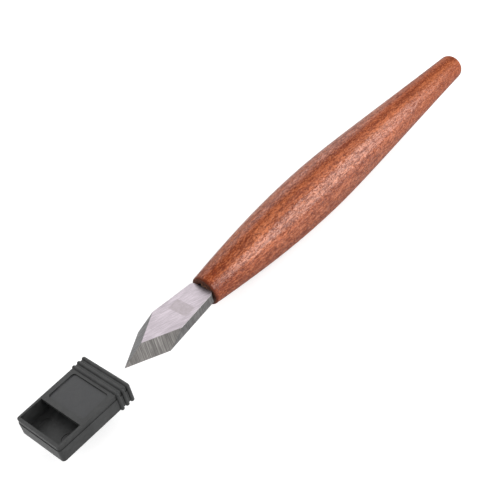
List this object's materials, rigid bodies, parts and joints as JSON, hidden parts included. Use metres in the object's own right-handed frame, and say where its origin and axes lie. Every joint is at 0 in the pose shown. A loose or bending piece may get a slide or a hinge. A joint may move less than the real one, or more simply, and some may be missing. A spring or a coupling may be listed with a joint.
{
  "type": "marking knife",
  "caption": "Spear point marking knife with a flat-backed blade, a turned wooden handle and a slide-on plastic blade guard with a window and grip ribs.",
  "frame": {"origin": "on the blade's flat back, on its centre line, midway between the handle's nose and the tip", "axes": "+X along the knife from the handle to the tip, +Y across the blade, +Z out of the bevelled face, away from the flat back"},
  "size_m": [0.2183, 0.0208, 0.0189],
  "materials": {
    "handle_wood": "oiled and lacquered, satin",
    "blade_steel": "surface ground, fine scratches",
    "bedding": "set adhesive, dull",
    "guard_plastic": "moulded, matte"
  },
  "bodies": {
    "knife": {"handle": "handle_wood", "tang_bedding": "bedding", "blade": "blade_steel"},
    "guard": {"blade_guard": "guard_plastic"}
  },
  "joints": [
    {"name": "guard_slide", "type": "slide", "parent": "knife", "child": "guard", "axis": [1, 0, 0], "range_m": [-0.032, 0]}
  ]
}
